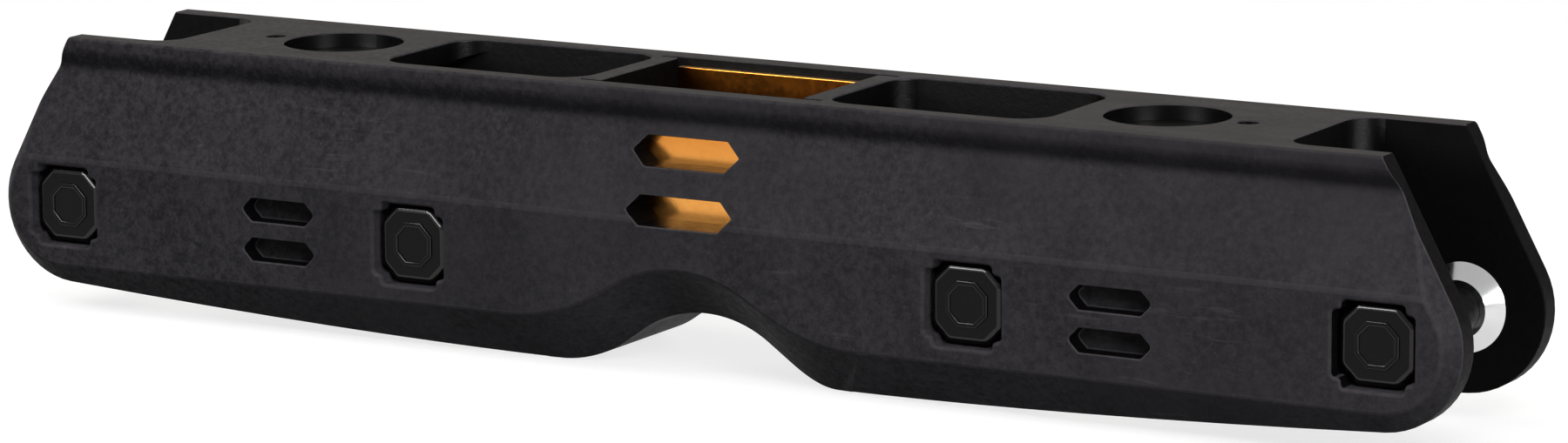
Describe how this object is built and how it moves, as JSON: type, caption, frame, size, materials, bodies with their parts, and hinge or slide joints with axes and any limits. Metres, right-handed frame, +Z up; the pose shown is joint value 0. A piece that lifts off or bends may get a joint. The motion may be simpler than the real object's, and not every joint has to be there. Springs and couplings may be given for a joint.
{
  "type": "inline skate frame",
  "caption": "Inline skate frame: moulded body with bevelled walls, a grind arch, deck pockets and a gold centre brace, carrying keyed axle sleeves held by screws and conical wheel bushes.",
  "frame": {"origin": "centre of the box's bottom, on the ground under the feet", "axes": "+X along the frame, +Y from the wall with the keyed heads to the wall with the screws, +Z up"},
  "size_m": [0.2892, 0.0436, 0.0498],
  "materials": {
    "body": "matte, finely grained",
    "brace": "gold anodised, satin",
    "axle": "gloss black",
    "screw": "satin black",
    "bush": "polished"
  },
  "bodies": {
    "frame": {"frame_body": "body", "centre_brace": "brace", "bush_near_1": "bush", "bush_near_2": "bush", "bush_near_3": "bush", "bush_near_4": "bush", "bush_far_1": "bush", "bush_far_2": "bush", "bush_far_3": "bush", "bush_far_4": "bush"},
    "sleeve_1": {"axle_sleeve_1": "axle"},
    "sleeve_2": {"axle_sleeve_2": "axle"},
    "sleeve_3": {"axle_sleeve_3": "axle"},
    "sleeve_4": {"axle_sleeve_4": "axle"},
    "screw_1": {"axle_screw_1": "screw"},
    "screw_2": {"axle_screw_2": "screw"},
    "screw_3": {"axle_screw_3": "screw"},
    "screw_4": {"axle_screw_4": "screw"}
  },
  "joints": [
    {"name": "sleeve_1_draw", "type": "slide", "parent": "frame", "child": "sleeve_1", "axis": [0, -1, 0], "range_m": [0, 0.04]},
    {"name": "sleeve_2_draw", "type": "slide", "parent": "frame", "child": "sleeve_2", "axis": [0, -1, 0], "range_m": [0, 0.04]},
    {"name": "sleeve_3_draw", "type": "slide", "parent": "frame", "child": "sleeve_3", "axis": [0, -1, 0], "range_m": [0, 0.04]},
    {"name": "sleeve_4_draw", "type": "slide", "parent": "frame", "child": "sleeve_4", "axis": [0, -1, 0], "range_m": [0, 0.04]},
    {"name": "screw_1_draw", "type": "slide", "parent": "frame", "child": "screw_1", "axis": [0, 1, 0], "range_m": [0, 0.025]},
    {"name": "screw_2_draw", "type": "slide", "parent": "frame", "child": "screw_2", "axis": [0, 1, 0], "range_m": [0, 0.025]},
    {"name": "screw_3_draw", "type": "slide", "parent": "frame", "child": "screw_3", "axis": [0, 1, 0], "range_m": [0, 0.025]},
    {"name": "screw_4_draw", "type": "slide", "parent": "frame", "child": "screw_4", "axis": [0, 1, 0], "range_m": [0, 0.025]}
  ]
}
